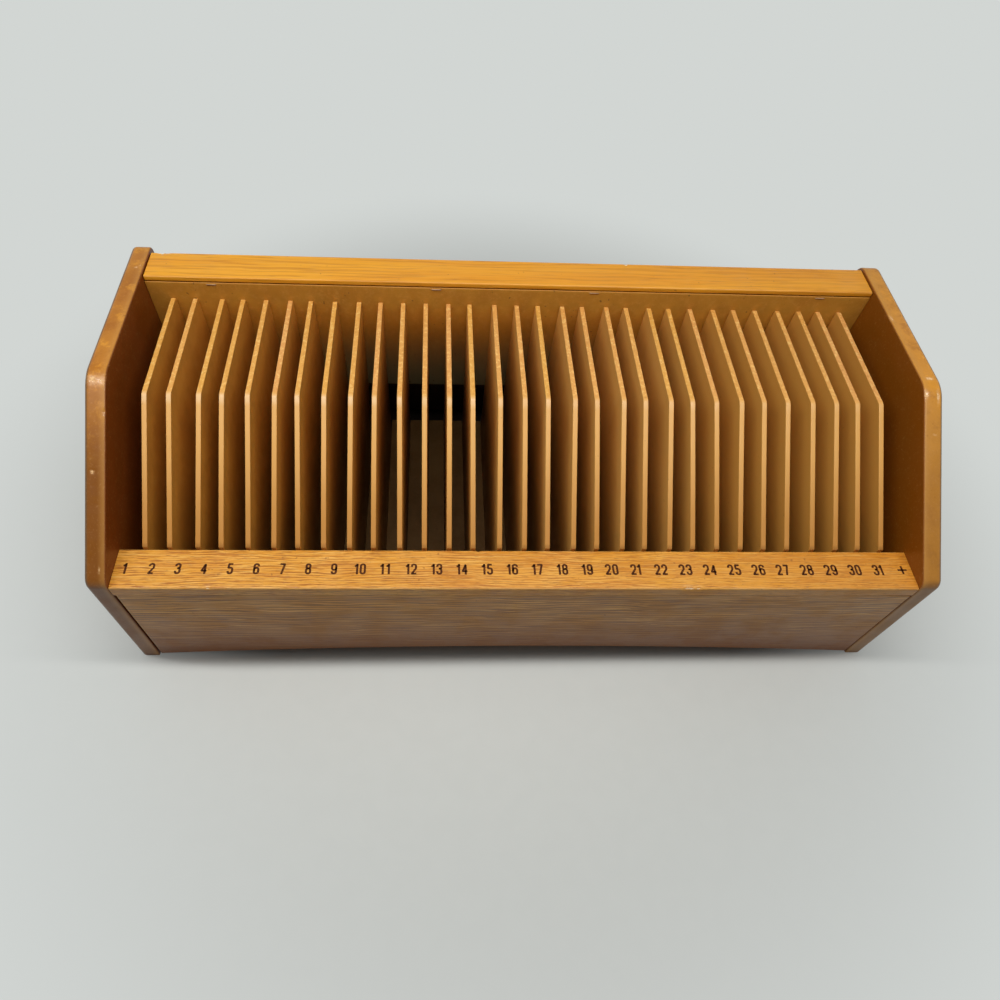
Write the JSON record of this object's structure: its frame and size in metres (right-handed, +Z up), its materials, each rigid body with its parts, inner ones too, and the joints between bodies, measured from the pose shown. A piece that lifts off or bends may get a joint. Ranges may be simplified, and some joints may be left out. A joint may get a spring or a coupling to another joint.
{
  "type": "bill organizer",
  "caption": "Desktop wooden bill organizer: slanted sides, a numbered front rail and a row of thin upright dividers that sort bills by the day they are due.",
  "frame": {"origin": "on the table, under the middle of the organizer's bounding box", "axes": "+X along the number rail to the right, +Y to the back, +Z up"},
  "size_m": [0.41, 0.18, 0.13],
  "materials": {
    "stained_side": "stained and lacquered, satin",
    "oak_veneer": "clear lacquered oak veneer, satin",
    "hardboard": "brown hardboard, low sheen",
    "divider_board": "thin lacquered board, pale sanded edges",
    "staple_wire": "bright wire",
    "dowel_wood": "bare"
  },
  "bodies": {
    "root": {"left_side_panel": "stained_side", "right_side_panel": "stained_side", "front_panel": "oak_veneer", "number_rail": "oak_veneer", "top_strip": "oak_veneer", "inner_back_panel": "hardboard", "rear_cover": "hardboard", "floor_board": "hardboard", "back_panel_staples": "staple_wire", "rear_cover_staples": "staple_wire", "corner_dowels": "dowel_wood", "divider_01": "divider_board", "divider_02": "divider_board", "divider_03": "divider_board", "divider_04": "divider_board", "divider_05": "divider_board", "divider_06": "divider_board", "divider_07": "divider_board", "divider_08": "divider_board", "divider_09": "divider_board", "divider_10": "divider_board", "divider_11": "divider_board", "divider_12": "divider_board", "divider_13": "divider_board", "divider_14": "divider_board", "divider_15": "divider_board", "divider_16": "divider_board", "divider_17": "divider_board", "divider_18": "divider_board", "divider_19": "divider_board", "divider_20": "divider_board", "divider_21": "divider_board", "divider_22": "divider_board", "divider_23": "divider_board", "divider_24": "divider_board", "divider_25": "divider_board", "divider_26": "divider_board", "divider_27": "divider_board", "divider_28": "divider_board", "divider_29": "divider_board", "divider_30": "divider_board", "divider_31": "divider_board"}
  },
  "joints": []
}
